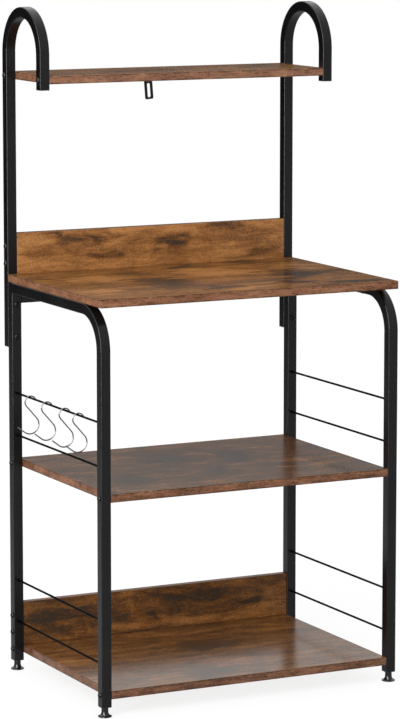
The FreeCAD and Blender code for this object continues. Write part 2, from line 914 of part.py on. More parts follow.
def build():
    """Builds every sub-part and returns them."""
    legs = (front_leg_y, rear_leg_y)
    parts = [rear_crossbar(), worktop()]
    for side in SIDES:
        parts += [front_leg_and_rail(side), rear_leg(side), upper_post(side)]
    parts += [
        shelf("middle_shelf", dim.middle_shelf_height, front_y, leg_rear_y, legs),
        shelf("bottom_shelf", dim.bottom_shelf_height, front_y, leg_rear_y, legs),
        top_shelf(),
        back_board(
            "upper_back_board",
            upper_board_y,
            upper_board_z,
            post_y,
            upper_board_screw_levels,
        ),
        back_board(
            "lower_back_board",
            rear_leg_y,
            dim.bottom_shelf_height,
            rear_leg_y,
            lower_board_screw_levels,
        ),
    ]
    parts += guard_wires() + feet() + end_caps()
    parts += end_screws() + post_bolts()
    parts += [worktop_screws(), wall_strap(), wall_strap_screw()]
    parts += s_hooks()
    return parts


def check(parts):
    """Stops if a feature failed, a cut removed nothing or a sub-part's shape isn't sound."""
    for made in doc.Objects:
        if "Invalid" in made.State or "Error" in made.State:
            raise RuntimeError(f"{made.Name} failed: {made.State}")
        if made.TypeId in ("PartDesign::Pocket", "PartDesign::SubtractivePipe"):
            if made.Shape.Volume >= made.BaseFeature.Shape.Volume:
                raise RuntimeError(f"{made.Name} cuts nothing")
    for part in parts:
        if part.Shape.isNull() or not part.Shape.isValid():
            raise RuntimeError(f"{part.Label} has no sound shape")


def write(parts):
    """Writes each sub-part's shape under its name."""
    os.makedirs("parts", exist_ok=True)
    for part in parts:
        part.Shape.exportStep(f"parts/{part.Label}.step")
        print(f"{part.Label}: {len(part.Shape.Solids)} solids, {part.Shape.Volume / 1000:.2f} cm3")


made_parts = build()
doc.recompute()
check(made_parts)
write(made_parts)
print(f"{len(made_parts)} sub-parts written")
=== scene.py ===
# %% [markdown]
# This file dresses a kitchen shelving unit of black square tube and rustic brown boards. The frame
# comes first: it is the measured construction, with every piece in its place. What follows gives each
# piece its finished form and surface, in metres, and reads all places from that frame.

# %% Load the frame
import json
import math

import bmesh
import bpy
from mathutils import Matrix, Vector


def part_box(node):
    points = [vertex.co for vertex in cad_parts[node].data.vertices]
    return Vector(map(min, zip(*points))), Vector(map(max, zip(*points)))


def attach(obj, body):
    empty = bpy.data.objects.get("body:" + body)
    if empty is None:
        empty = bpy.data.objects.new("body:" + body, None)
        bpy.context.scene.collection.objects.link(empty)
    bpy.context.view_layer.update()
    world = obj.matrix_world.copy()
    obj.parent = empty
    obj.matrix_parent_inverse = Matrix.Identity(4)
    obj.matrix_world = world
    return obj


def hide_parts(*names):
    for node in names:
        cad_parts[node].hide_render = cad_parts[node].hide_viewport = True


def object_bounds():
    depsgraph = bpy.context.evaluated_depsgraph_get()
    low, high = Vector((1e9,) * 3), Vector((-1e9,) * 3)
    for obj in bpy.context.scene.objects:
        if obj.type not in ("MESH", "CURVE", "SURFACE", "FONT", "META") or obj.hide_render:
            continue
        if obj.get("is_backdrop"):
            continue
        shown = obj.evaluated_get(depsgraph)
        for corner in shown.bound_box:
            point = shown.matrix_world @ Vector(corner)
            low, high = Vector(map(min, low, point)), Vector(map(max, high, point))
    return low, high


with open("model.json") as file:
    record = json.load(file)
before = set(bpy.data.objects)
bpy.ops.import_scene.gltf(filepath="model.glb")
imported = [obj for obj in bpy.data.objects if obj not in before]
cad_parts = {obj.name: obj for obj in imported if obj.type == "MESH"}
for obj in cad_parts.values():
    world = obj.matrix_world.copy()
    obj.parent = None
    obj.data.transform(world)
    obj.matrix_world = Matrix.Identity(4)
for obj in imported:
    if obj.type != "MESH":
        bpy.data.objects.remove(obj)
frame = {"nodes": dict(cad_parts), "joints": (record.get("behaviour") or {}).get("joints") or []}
cad_low, cad_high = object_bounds()
scene = bpy.context.scene
print("Frame loaded:", len(frame["nodes"]), "nodes, box", [round(v, 4) for v in (*cad_low, *cad_high)])

# %% [markdown]
# A long lens far away keeps upright lines nearly parallel, as in a catalogue picture. The camera stands
# to the left of the unit and a little above it, and looks down by a few degrees. The picture was cropped
# from a taller one, so its optical axis passes above the middle; a small vertical shift repeats that.

# %% Camera
FRAME_HEIGHT = 719
CAMERA_PLACE = (-2.662932, -5.321089, 1.498516)
CAMERA_YAW, CAMERA_PITCH = 0.46423, -0.13226
FOCAL_PIXELS = 3249.1
AXIS_ROW = 300
SENSOR = 36.0

camera = bpy.data.objects.new("camera", bpy.data.cameras.new("camera"))
camera.location = CAMERA_PLACE
camera.rotation_euler = (math.pi / 2 + CAMERA_PITCH, 0, -CAMERA_YAW)
camera.data.sensor_width = SENSOR
camera.data.lens = FOCAL_PIXELS * SENSOR / FRAME_HEIGHT
camera.data.shift_y = (AXIS_ROW - FRAME_HEIGHT / 2) / FRAME_HEIGHT
scene.collection.objects.link(camera)
scene.camera = camera
print(f"Camera: lens {camera.data.lens:.1f} mm, shift {camera.data.shift_y:.4f}")

# %% [markdown]
# Nodes make both the surfaces and many of the shapes below. A few short helpers keep their trees
# readable: one adds a node and fills its inputs, the others add the common sums and mixes.


# %% Node helpers
def add(tree, kind, inputs=None, **settings):
    """Adds a node, sets its options, and fills or links its inputs."""
    node = tree.nodes.new(kind)
    for name, value in settings.items():
        setattr(node, name, value)
    for key, value in (inputs or {}).items():
        if isinstance(value, bpy.types.NodeSocket):
            tree.links.new(value, node.inputs[key])
        else:
            node.inputs[key].default_value = value
    return node


def maths(tree, operation, *values):
    """A sum of plain numbers."""
    return add(tree, "ShaderNodeMath", dict(enumerate(values)), operation=operation).outputs[0]


def swing(tree, value, reach):
    """Turns a value that varies around a half into one that varies around zero, stretched by a reach."""
    return maths(tree, "MULTIPLY", maths(tree, "SUBTRACT", value, 0.5), reach)


def vectors(tree, operation, *values):
    """A sum of vectors; a length or dot product comes out as a number."""
    node = add(tree, "ShaderNodeVectorMath", dict(enumerate(values)), operation=operation)
    return node.outputs["Value" if operation in ("LENGTH", "DOT_PRODUCT") else "Vector"]


def remap(tree, value, low, high, to_low=0.0, to_high=1.0):
    """Eases a value from one range to another."""
    ends = {"Value": value, "From Min": low, "From Max": high, "To Min": to_low, "To Max": to_high}
    return add(tree, "ShaderNodeMapRange", ends, interpolation_type="SMOOTHSTEP").outputs["Result"]


def blend(tree, factor, first, second):
    """A number that goes from the first to the second as the factor goes from 0 to 1."""
    return add(tree, "ShaderNodeMix", {0: factor, 2: first, 3: second}).outputs[0]


def mix(tree, factor, first, second):
    """Mixes two colours."""
    return add(tree, "ShaderNodeMix", {0: factor, 6: first, 7: second}, data_type="RGBA").outputs[2]


def noise(tree, vector, scale, stretch=(1, 1, 1), detail=3.0, roughness=0.55, distortion=0.0):
    """Cloudy noise, drawn out along the axes that have a small stretch."""
    spot = vectors(tree, "MULTIPLY", vector, stretch)
    values = {"Vector": spot, "Scale": scale, "Detail": detail}
    values |= {"Roughness": roughness, "Distortion": distortion}
    return add(tree, "ShaderNodeTexNoise", values).outputs["Fac"]


def new_group(name, kind, inputs, outputs):
    """An empty node group with named sockets. Returns it with its input and output nodes."""
    group = bpy.data.node_groups.new(name, kind)
    for label, (socket, default) in inputs.items():
        made = group.interface.new_socket(label, in_out="INPUT", socket_type=socket)
        if default is not None:
            made.default_value = default
    for label, socket in outputs.items():
        group.interface.new_socket(label, in_out="OUTPUT", socket_type=socket)
    return group, group.nodes.new("NodeGroupInput"), group.nodes.new("NodeGroupOutput")


def place_group(tree, group, inputs):
    """Places a shader group in a material with its own values."""
    return add(tree, "ShaderNodeGroup", inputs, node_tree=group)


def new_material(name, **constants):
    """A material with one Principled shader, whose constants sit on its own sockets."""
    material = bpy.data.materials.new(name)
    material.use_nodes = True
    shader = material.node_tree.nodes["Principled BSDF"]
    for socket, value in constants.items():
        shader.inputs[socket.replace("_", " ")].default_value = value
    return material, material.node_tree, shader


FLOAT, INTEGER, VECTOR, COLOR = [f"NodeSocket{kind}" for kind in ("Float", "Int", "Vector", "Color")]
GEOMETRY, MATERIAL, OBJECT = [f"NodeSocket{kind}" for kind in ("Geometry", "Material", "Object")]
print("Helpers ready")

# %% [markdown]
# The studio is plain: a pale floor, a white surround, one large soft lamp from the front left and a low
# strip beside it. The camera and clear glass see a white surround. As a light, it is even and a little
# dimmer than white, so that the lamps can model the tubes. Gloss sees a room instead, because in a
# uniformly white one black gloss paint turns grey and a satin board looks milky. That room is nearly
# dark low down behind the unit and dim low down in front, and above a narrow band it is bright, more so
# behind. A tall window at the front left draws a thin line of light along the corners of the tubes.
# Directions come as x, y and z; a bearing is measured from straight in front, towards the right.
#
# The floor is white to the camera alone. To the rest it only glows, and less and less behind the unit,
# because that is the part of it which the left faces of the tubes mirror.

# %% Studio
DOME_STRENGTH = 0.72
ROOM_BEHIND, ROOM_FRONT = 0.015, 0.55
ABOVE_BEHIND, ABOVE_FRONT = 1.3, 0.7
ROOM_RISE_START, ROOM_RISE_END = 0.195, 0.255
TOWARDS_BACK, TOWARDS_FRONT = 0.4, -0.6
WINDOW_BEARING, WINDOW_REACH, WINDOW_FADE = [math.radians(angle) for angle in (-51, 21, 6)]
WINDOW_STRENGTH = 7.0

world = bpy.data.worlds.new("surround")
scene.world = world
world.use_nodes = True
sky = world.node_tree
background = sky.nodes["Background"]
background.inputs["Color"].default_value = (1, 1, 1, 1)
rays = add(sky, "ShaderNodeLightPath").outputs
clear = maths(sky, "MAXIMUM", rays["Is Camera Ray"], rays["Is Transmission Ray"])
direction = add(sky, "ShaderNodeTexCoord").outputs["Generated"]
direction = add(sky, "ShaderNodeSeparateXYZ", {0: direction}).outputs
horizon = remap(sky, direction["Y"], TOWARDS_BACK, TOWARDS_FRONT, ROOM_BEHIND, ROOM_FRONT)
rise = remap(sky, direction["Z"], ROOM_RISE_START, ROOM_RISE_END)
above = remap(sky, direction["Y"], TOWARDS_BACK, TOWARDS_FRONT, ABOVE_BEHIND, ABOVE_FRONT)
room = blend(sky, rise, horizon, above)
bearing = maths(sky, "ARCTAN2", direction["X"], maths(sky, "MULTIPLY", direction["Y"], -1))
aside = maths(sky, "ABSOLUTE", maths(sky, "SUBTRACT", bearing, WINDOW_BEARING))
window = remap(sky, aside, WINDOW_REACH, WINDOW_REACH - WINDOW_FADE, 0, WINDOW_STRENGTH)
room = maths(sky, "ADD", room, window)
strength = blend(sky, clear, DOME_STRENGTH, 1.0)
strength = blend(sky, rays["Is Glossy Ray"], strength, room)
sky.links.new(strength, background.inputs["Strength"])
print("Surround: light", DOME_STRENGTH, "and in gloss", ROOM_BEHIND, "to", ABOVE_BEHIND)

# %% Floor
FLOOR_RADIUS = 4.6
FLOOR_SIDES = 96
FLOOR_GREY = 0.2
FLOOR_GLOW, FLOOR_GLOW_BEHIND, FLOOR_WHITE = 0.34, 0.04, 0.84
FADE_START, FADE_END = 0.7, 2.7

floor_mesh = bpy.data.meshes.new("floor")
outline = bmesh.new()
bmesh.ops.create_circle(outline, cap_ends=True, segments=FLOOR_SIDES, radius=FLOOR_RADIUS)
outline.to_mesh(floor_mesh)
outline.free()
floor = bpy.data.objects.new("floor", floor_mesh)
scene.collection.objects.link(floor)
floor_paint, tree, shader = new_material("pale_floor", Roughness=0.9, Specular_IOR_Level=0.1)
shader.inputs["Base Color"].default_value = (FLOOR_GREY, FLOOR_GREY, FLOOR_GREY, 1)
shader.inputs["Emission Color"].default_value = (1, 1, 1, 1)
seen = add(tree, "ShaderNodeLightPath").outputs["Is Camera Ray"]
behind = add(tree, "ShaderNodeTexCoord").outputs["Object"]
behind = add(tree, "ShaderNodeSeparateXYZ", {0: behind}).outputs["Y"]
glow = remap(tree, behind, FADE_START, FADE_END, FLOOR_GLOW, FLOOR_GLOW_BEHIND)
tree.links.new(blend(tree, seen, glow, FLOOR_WHITE), shader.inputs["Emission Strength"])
floor_mesh.materials.append(floor_paint)
floor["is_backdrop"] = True
print("Floor:", FLOOR_RADIUS, "m around the unit")


# %% Lamps
def lamp(name, azimuth, distance, height, width, length, power, target):
    """A soft rectangular lamp; its azimuth goes round from the front, and it aims at a target height."""
    made = bpy.data.objects.new(name, bpy.data.lights.new(name, "AREA"))
    made.data.shape = "RECTANGLE"
    made.data.size, made.data.size_y = width, length
    made.data.energy = power
    angle = math.radians(azimuth)
    made.location = (math.sin(angle) * distance, -math.cos(angle) * distance, height)
    aim = Vector((0, 0, target)) - made.location
    made.rotation_euler = aim.to_track_quat("-Z", "Y").to_euler()
    made.visible_camera = False
    scene.collection.objects.link(made)


middle = cad_high.z / 2
STRIP_HEIGHT = 0.75
lamp("soft_lamp", azimuth=-50, distance=3.0, height=2.3, width=1.6, length=1.6, power=42, target=middle)
lamp(
    "low_strip",
    azimuth=-63, distance=3.3, height=STRIP_HEIGHT, width=0.2, length=1.4, power=32, target=STRIP_HEIGHT,
)
scene.view_settings.view_transform = "Standard"

# %% [markdown]
# The tubes, wires and the strap are powder coated: a nearly black, satin skin with a very fine orange
# peel and a little dust. A group makes that skin from noise on object coordinates, so every black
# piece can wear it with its own strength.

# %% Powder coat
COAT_COLOR = (0.0042, 0.0038, 0.0045, 1)
DUST_COLOR = (0.016, 0.0155, 0.0155, 1)
CLOUD_SCALE, PEEL_SCALE = 14, 1400
PEEL_DEPTH = 0.0002
ROUGHNESS_SWING = 0.16

coat_group, entry, leave = new_group(
    "powder_coat",
    "ShaderNodeTree",
    {"Color": (COLOR, None), "Dust": (FLOAT, None), "Roughness": (FLOAT, None), "Peel": (FLOAT, None)},
    {"Color": COLOR, "Roughness": FLOAT, "Normal": VECTOR},
)
spot = add(coat_group, "ShaderNodeTexCoord").outputs["Object"]
clouds = noise(coat_group, spot, CLOUD_SCALE, detail=4)
speckle = noise(coat_group, spot, PEEL_SCALE, detail=1)
dust = maths(coat_group, "MULTIPLY", remap(coat_group, clouds, 0.45, 0.75), entry.outputs["Dust"])
bump = {"Strength": entry.outputs["Peel"], "Distance": PEEL_DEPTH, "Height": speckle}
peel = add(coat_group, "ShaderNodeBump", bump)
rough = maths(coat_group, "ADD", entry.outputs["Roughness"], swing(coat_group, clouds, ROUGHNESS_SWING))
coat_group.links.new(mix(coat_group, dust, entry.outputs["Color"], DUST_COLOR), leave.inputs["Color"])
coat_group.links.new(rough, leave.inputs["Roughness"])
coat_group.links.new(peel.outputs["Normal"], leave.inputs["Normal"])


def black_finish(name, color, level, dust, rough, peel):
    """A black skin: its colour, gloss level, dust, roughness and orange peel."""
    material, tree, shader = new_material(name, Specular_IOR_Level=level)
    made = place_group(tree, coat_group, {"Color": color, "Dust": dust, "Roughness": rough, "Peel": peel})
    for output, socket in (("Color", "Base Color"), ("Roughness", "Roughness"), ("Normal", "Normal")):
        tree.links.new(made.outputs[output], shader.inputs[socket])
    return material


WIRE_COLOR = (0.0025, 0.0025, 0.0025, 1)
SCREW_COLOR = (0.005, 0.005, 0.005, 1)
PLASTIC_COLOR = (0.004, 0.004, 0.0045, 1)
powder_black = black_finish("powder_black", COAT_COLOR, level=0.35, dust=0.2, rough=0.24, peel=0.05)
wire_black = black_finish("wire_black", WIRE_COLOR, level=0.008, dust=0.1, rough=0.3, peel=0.04)
screw_black = black_finish("screw_black", SCREW_COLOR, level=0.25, dust=0.2, rough=0.35, peel=0.02)
plastic_black = black_finish("plastic_black", PLASTIC_COLOR, level=0.5, dust=0.2, rough=0.2, peel=0.02)
print("Black finishes ready")

# %% [markdown]
# The hooks are polished chrome, and the nuts, the studs and the screws under the worktop and on the wall
# strap are zinc plated. Both are metal, so colour and roughness carry them. The chrome is nearly sharp,
# and it is written darker than real chrome, so that a thin hook stands out against a white wall. Zinc
# is paler, duller and cloudy.


# %% Metals
def metal_finish(name, color, shade, rough_low, rough_high, scale):
    """A plated metal whose colour and roughness drift in soft clouds."""
    material, tree, shader = new_material(name, Metallic=1.0)
    spot = add(tree, "ShaderNodeTexCoord").outputs["Object"]
    clouds = noise(tree, spot, scale, detail=4)
    tree.links.new(mix(tree, remap(tree, clouds, 0.35, 0.7), color, shade), shader.inputs["Base Color"])
    tree.links.new(remap(tree, clouds, 0.3, 0.7, rough_low, rough_high), shader.inputs["Roughness"])
    return material


CHROME, CHROME_SHADE = (0.27, 0.27, 0.28, 1), (0.17, 0.17, 0.18, 1)
ZINC, ZINC_SHADE = (0.62, 0.62, 0.6, 1), (0.5, 0.5, 0.5, 1)
chrome = metal_finish("chrome", CHROME, CHROME_SHADE, rough_low=0.05, rough_high=0.12, scale=60)
zinc = metal_finish("zinc", ZINC, ZINC_SHADE, rough_low=0.25, rough_high=0.42, scale=160)
print("Metals ready")

# %% [markdown]
# The boards are pressed board with a printed rustic wood face: golden brown with long streaks, fine
# pores and soft charcoal clouds. A small group lays one soft dark or golden patch; a chain of these puts
# the clouds of each board where the real board has them, which plain noise could never do. The grain
# group builds the rest in board coordinates, with x along the grain: layers of noise, from broad bands
# to a fine weave, move one tone up and down, and the tone picks a colour between charcoal and golden.

# %% Soft patch group
PATCH_RIM, PATCH_CORE = 1.25, 0.1
patch_group, entry, leave = new_group(
    "soft_patch",
    "ShaderNodeTree",
    {
        "Vector": (VECTOR, None),
        "Darkness": (FLOAT, None),
        "Centre": (VECTOR, None),
        "Reach": (VECTOR, None),
        "Strength": (FLOAT, None),
    },
    {"Darkness": FLOAT},
)
away = vectors(patch_group, "SUBTRACT", entry.outputs["Vector"], entry.outputs["Centre"])
away = vectors(patch_group, "DIVIDE", away, entry.outputs["Reach"])
fall = remap(patch_group, vectors(patch_group, "LENGTH", away), PATCH_RIM, PATCH_CORE)
darker = maths(patch_group, "MULTIPLY", fall, entry.outputs["Strength"])
patch_group.links.new(maths(patch_group, "ADD", entry.outputs["Darkness"], darker), leave.inputs["Darkness"])
print("Patch group ready")

# %% Grain group
GOLDEN = (0.51, 0.233, 0.076, 1)
HONEY = (0.28, 0.119, 0.036, 1)
BROWN = (0.135, 0.058, 0.02, 1)
CHARCOAL = (0.052, 0.035, 0.023, 1)
SWAY = 0.05
PIT_DEPTH = 0.4
SMOOTH, DULL = 0.17, 0.23

grain_group, entry, leave = new_group(
    "rustic_grain",
    "ShaderNodeTree",
    {
        "Vector": (VECTOR, None),
        "Seed": (VECTOR, None),
        "Darkness": (FLOAT, 0.0),
        "Golden": (COLOR, GOLDEN),
        "Honey": (COLOR, HONEY),
        "Brown": (COLOR, BROWN),
        "Charcoal": (COLOR, CHARCOAL),
        "Tone": (FLOAT, None),
        "Streaks": (FLOAT, 1.0),
    },
    {"Color": COLOR, "Roughness": FLOAT, "Height": FLOAT},
)
spot = vectors(grain_group, "ADD", entry.outputs["Vector"], entry.outputs["Seed"])
sway = swing(grain_group, noise(grain_group, spot, 6, (1, 2, 2), detail=2), SWAY)
sway = add(grain_group, "ShaderNodeCombineXYZ", {1: sway}).outputs[0]
spot = vectors(grain_group, "ADD", spot, sway)
bands = noise(grain_group, spot, 3.5, (1, 14, 14), detail=6, roughness=0.62, distortion=0.4)
smudges = noise(grain_group, spot, 13, (1, 2, 2), detail=6, roughness=0.65, distortion=0.6)
streaks = noise(grain_group, spot, 14, (1, 9, 9), detail=5, roughness=0.7)
fibres = noise(grain_group, spot, 26, (1, 26, 26), detail=4, roughness=0.75)
weave = noise(grain_group, spot, 260, (1, 1.6, 1.6), detail=2, roughness=0.7)
pores = noise(grain_group, spot, 75, (1, 11, 11), detail=2)
tone = entry.outputs["Tone"]
fine = entry.outputs["Streaks"]
for layer, share in ((bands, 1.0), (smudges, 1.3), (streaks, fine), (fibres, fine), (weave, 1.0)):
    tone = maths(grain_group, "ADD", tone, swing(grain_group, layer, share))
tone = maths(grain_group, "SUBTRACT", tone, entry.outputs["Darkness"])
wood = entry.outputs["Charcoal"]
for paint, start, end in (("Brown", -0.15, 0.3), ("Honey", 0.15, 0.65), ("Golden", 0.5, 1.1)):
    wood = mix(grain_group, remap(grain_group, tone, start, end), wood, entry.outputs[paint])
pit = maths(grain_group, "MULTIPLY", remap(grain_group, pores, 0.6, 0.7), PIT_DEPTH)
wood = mix(grain_group, pit, wood, entry.outputs["Charcoal"])
grain_group.links.new(wood, leave.inputs["Color"])
grain_group.links.new(remap(grain_group, fibres, 0.25, 0.75, SMOOTH, DULL), leave.inputs["Roughness"])
grain_group.links.new(fibres, leave.inputs["Height"])
print("Grain group ready")

# %% [markdown]
# A board's narrow sides carry a strip of the same print, redder and paler, with dark dashes and a ragged
# dark line along the edges where the printed face wraps over. The mask comes from the direction a face
# looks in, and the dark line from how near a point is to one of the board's two large faces. The back
# boards stand upright, so their pattern is turned by a quarter. A noise tears the rims of the patches,
# which would otherwise be smooth ovals.

# %% Board material
EDGE_COLORS = {
    "Golden": (0.37, 0.18, 0.102, 1),
    "Honey": (0.25, 0.112, 0.06, 1),
    "Brown": (0.11, 0.048, 0.026, 1),
}
EDGE_DARK = (0.03, 0.016, 0.011, 1)
GRAIN_DEPTH, GRAIN_STRENGTH = 0.0003, 0.08
TEAR_SCALE, TEAR_ALONG, TEAR_ACROSS, TEAR_ACROSS_UPRIGHT = 18, 0.16, 0.12, 0.03
RAGGED = 0.009
EDGE_LINE_START, EDGE_LINE_END = 0.0024, 0.0006
LINE_STRENGTH, DASH_STRENGTH = 0.7, 0.6
TURNED_AWAY, TURNED_TO_FACE = 0.45, 0.85


def board_finish(node, upright, seed, gloss, streaks, face_tone, edge_tone, patches):
    """The printed wood of one board.

    gloss is its specular level, streaks the strength of its fine grain, and the tones say how light
    its faces and edges are. patches are (along, across, reach along, reach across, darkness).
    """
    low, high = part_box(node)
    half_thickness = (high.y - low.y if upright else high.z - low.z) / 2
    material, tree, shader = new_material(f"wood_{node}", Specular_IOR_Level=gloss)
    turn = -math.pi / 2 if upright else 0.0
    shift = -(Matrix.Rotation(turn, 3, "X") @ ((low + high) / 2))
    place = add(tree, "ShaderNodeTexCoord")
    values = {"Vector": place.outputs["Object"], "Location": shift, "Rotation": (turn, 0, 0)}
    spot = add(tree, "ShaderNodeMapping", values).outputs["Vector"]
    values = {"Vector": vectors(tree, "MULTIPLY", spot, (1, 3, 1)), "Scale": TEAR_SCALE, "Detail": 3}
    jitter = add(tree, "ShaderNodeTexNoise", values).outputs["Color"]
    jitter = vectors(tree, "SUBTRACT", jitter, (0.5, 0.5, 0.5))
    tear = (TEAR_ALONG, TEAR_ACROSS_UPRIGHT if upright else TEAR_ACROSS, 0)
    torn = vectors(tree, "ADD", spot, vectors(tree, "MULTIPLY", jitter, tear))
    darkness = 0.0
    for along, across, reach_along, reach_across, strength in patches:
        values = {"Vector": torn, "Darkness": darkness, "Strength": strength}
        values |= {"Centre": (along, across, 0), "Reach": (reach_along, reach_across, 1)}
        darkness = place_group(tree, patch_group, values).outputs["Darkness"]
    values = {"Vector": spot, "Seed": seed, "Darkness": darkness, "Tone": face_tone, "Streaks": streaks}
    face = place_group(tree, grain_group, values)
    values = {"Vector": spot, "Seed": (seed[1], 0, seed[0]), "Tone": edge_tone, **EDGE_COLORS}
    edge = place_group(tree, grain_group, values)
    thickness = add(tree, "ShaderNodeSeparateXYZ", {0: spot}).outputs["Z"]
    # The narrow sides darken in a ragged line along both arrises and in scattered dashes.
    ragged = swing(tree, noise(tree, spot, 60, (1, 3, 3), detail=3), RAGGED)
    depth = maths(tree, "SUBTRACT", half_thickness, maths(tree, "ABSOLUTE", thickness))
    line = remap(tree, maths(tree, "ADD", depth, ragged), EDGE_LINE_START, EDGE_LINE_END)
    dashes = remap(tree, noise(tree, spot, 55, (1, 5, 5), detail=3, roughness=0.7), 0.54, 0.66)
    darkened_edge = mix(tree, maths(tree, "MULTIPLY", dashes, DASH_STRENGTH), edge.outputs["Color"], EDGE_DARK)
    darkened_edge = mix(tree, maths(tree, "MULTIPLY", line, LINE_STRENGTH), darkened_edge, EDGE_DARK)
    axis = (0, 1, 0) if upright else (0, 0, 1)
    facing = maths(tree, "ABSOLUTE", vectors(tree, "DOT_PRODUCT", place.outputs["Normal"], axis))
    is_face = remap(tree, facing, TURNED_AWAY, TURNED_TO_FACE)
    printed = mix(tree, is_face, darkened_edge, face.outputs["Color"])
    tree.links.new(printed, shader.inputs["Base Color"])
    tree.links.new(face.outputs["Roughness"], shader.inputs["Roughness"])
    values = {"Strength": GRAIN_STRENGTH, "Distance": GRAIN_DEPTH, "Height": face.outputs["Height"]}
    tree.links.new(add(tree, "ShaderNodeBump", values).outputs["Normal"], shader.inputs["Normal"])
    return material


print("Board finish ready")

# %% [markdown]
# Each finished piece is a plain mesh at the origin that rides on the body of the node it stands for.
# Normals are weighted by face area, which keeps the flat sides of a tube flat and lets only its narrow
# corners look round.

# %% Finish a piece
SHARP_ANGLE = math.radians(50)


def settle(made):
    """Turns an object with live modifiers into a plain mesh object of the same name."""
    graph = bpy.context.evaluated_depsgraph_get()
    mesh = bpy.data.meshes.new_from_object(made.evaluated_get(graph))
    name = made.name
    bpy.data.objects.remove(made)
    mesh.name = name
    settled = bpy.data.objects.new(name, mesh)
    scene.collection.objects.link(settled)
    return settled


def soften(made):
    """Marks sharp edges, smooths the rest and weights the normals by area."""
    work = bmesh.new()
    work.from_mesh(made.data)
    for edge in work.edges:
        if len(edge.link_faces) == 2 and edge.calc_face_angle() > SHARP_ANGLE:
            edge.smooth = False
    for face in work.faces:
        face.smooth = True
    work.to_mesh(made.data)
    work.free()
    made.modifiers.new("even_normals", "WEIGHTED_NORMAL").keep_sharp = True
    return settle(made)


def hand_over(made, body, slot, *nodes):
    """Softens a piece, lets it ride on its body and stand for its nodes, and reports it."""
    made = soften(made)
    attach(made, body)
    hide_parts(*nodes)
    low, high = [Vector(pick(v.co[i] for v in made.data.vertices) for i in range(3)) for pick in (min, max)]
    print(f"{made.name}: {len(made.data.polygons)} faces, size {[round(v * 1000, 1) for v in high - low]} mm")


def mesh_object(name, points, edges=(), faces=()):
    """A new object with a mesh of the given points."""
    mesh = bpy.data.meshes.new(name)
    mesh.from_pydata([tuple(point) for point in points], edges, faces)
    made = bpy.data.objects.new(name, mesh)
    scene.collection.objects.link(made)
    return made


def new_shape_tree(name, inputs):
    """An empty geometry tree that takes points and a material as well as the given inputs."""
    inputs = {"Geometry": (GEOMETRY, None), **inputs, "Material": (MATERIAL, None)}
    return new_group(name, "GeometryNodeTree", inputs, {"Geometry": GEOMETRY})


def close_tree(tree, skin, entry, leave):
    """Ends a shape tree: real faces, in the material that its input names."""
    skin = add(tree, "GeometryNodeRealizeInstances", {"Geometry": skin}).outputs["Geometry"]
    values = {"Geometry": skin, "Material": entry.outputs["Material"]}
    skin = add(tree, "GeometryNodeSetMaterial", values).outputs["Geometry"]
    tree.links.new(skin, leave.inputs["Geometry"])


def grow(made, tree, values):
    """Runs a geometry tree on an object with the given named inputs and returns the plain result."""
    modifier = made.modifiers.new("shape", "NODES")
    modifier.node_group = tree
    for item in tree.interface.items_tree:
        if item.item_type == "SOCKET" and item.in_out == "INPUT" and item.name in values:
            modifier[item.identifier] = values[item.name]
    return settle(made)


print("Finishing helpers ready")

# %% [markdown]
# The frame is cold-bent square tube. A geometry tree takes a few corner points, rounds them to the bend
# radius and sweeps a rounded square along the way. The same tree makes the rear legs, the front legs
# with their rails, the upper posts with their arches, and the crossbar.

# %% Tube tree
BEND_STEPS = 40
CORNER_STEPS = 6
CORNER_RADIUS = 0.0015
tube_tree, entry, leave = new_shape_tree(
    "square_tube_along_corners",
    {
        "Side": (FLOAT, None),
        "Corner radius": (FLOAT, CORNER_RADIUS),
        "Bend radius": (FLOAT, None),
        "Bend steps": (INTEGER, BEND_STEPS),
        "Corner steps": (INTEGER, CORNER_STEPS),
    },
)
way = add(tube_tree, "GeometryNodeMeshToCurve", {"Mesh": entry.outputs["Geometry"]}).outputs["Curve"]
values = {"Width": entry.outputs["Side"], "Height": entry.outputs["Side"]}
square = add(tube_tree, "GeometryNodeCurvePrimitiveQuadrilateral", values).outputs["Curve"]


def rounded(curve, kind):
    """Rounds a curve's corners by the inputs for a bend of the way or for a corner of the section."""
    values = {"Count": entry.outputs[f"{kind} steps"], "Radius": entry.outputs[f"{kind} radius"]}
    values |= {"Curve": curve, "Limit Radius": True}
    return add(tube_tree, "GeometryNodeFilletCurve", values, mode="POLY").outputs["Curve"]


values = {"Curve": rounded(way, "Bend"), "Profile Curve": rounded(square, "Corner"), "Fill Caps": True}
close_tree(tube_tree, add(tube_tree, "GeometryNodeCurveToMesh", values).outputs["Mesh"], entry, leave)
print("Tube tree ready")

# %% Side frames, posts and crossbar
RAIL_BEND_RADIUS = 0.070
SIDES = {"left": -1, "right": 1}
low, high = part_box("left_rear_leg")
tube_side = high.x - low.x
tube_half = tube_side / 2


def tube(node, corners, bend_radius=0.0):
    """One tube of the frame through the given corner points."""
    made = mesh_object(f"{node}_tube", corners, [(i, i + 1) for i in range(len(corners) - 1)])
    made = grow(made, tube_tree, {"Bend radius": bend_radius, "Material": powder_black, "Side": tube_side})
    hand_over(made, "root", "tube_steel", node)


for side in SIDES:
    low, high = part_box(f"{side}_rear_leg")
    x = (low.x + high.x) / 2
    tube(f"{side}_rear_leg", [(x, low.y + tube_half, low.z), (x, low.y + tube_half, high.z)])
    low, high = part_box(f"{side}_front_leg_and_rail")
    leg_y, rail_z = low.y + tube_half, high.z - tube_half
    leg = [(x, leg_y, low.z), (x, leg_y, rail_z), (x, high.y, rail_z)]
    tube(f"{side}_front_leg_and_rail", leg, RAIL_BEND_RADIUS)
    low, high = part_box(f"{side}_upper_post")
    post_y, tip_y, crown_z = high.y - tube_half, low.y + tube_half, high.z - tube_half
    flange = low.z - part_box(f"{side}_post_end_cap")[0].z
    tip_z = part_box(f"{side}_arch_tip_cap")[0].z + flange
    arch = [(x, post_y, low.z), (x, post_y, crown_z), (x, tip_y, crown_z), (x, tip_y, tip_z)]
    tube(f"{side}_upper_post", arch, (post_y - tip_y) / 2)
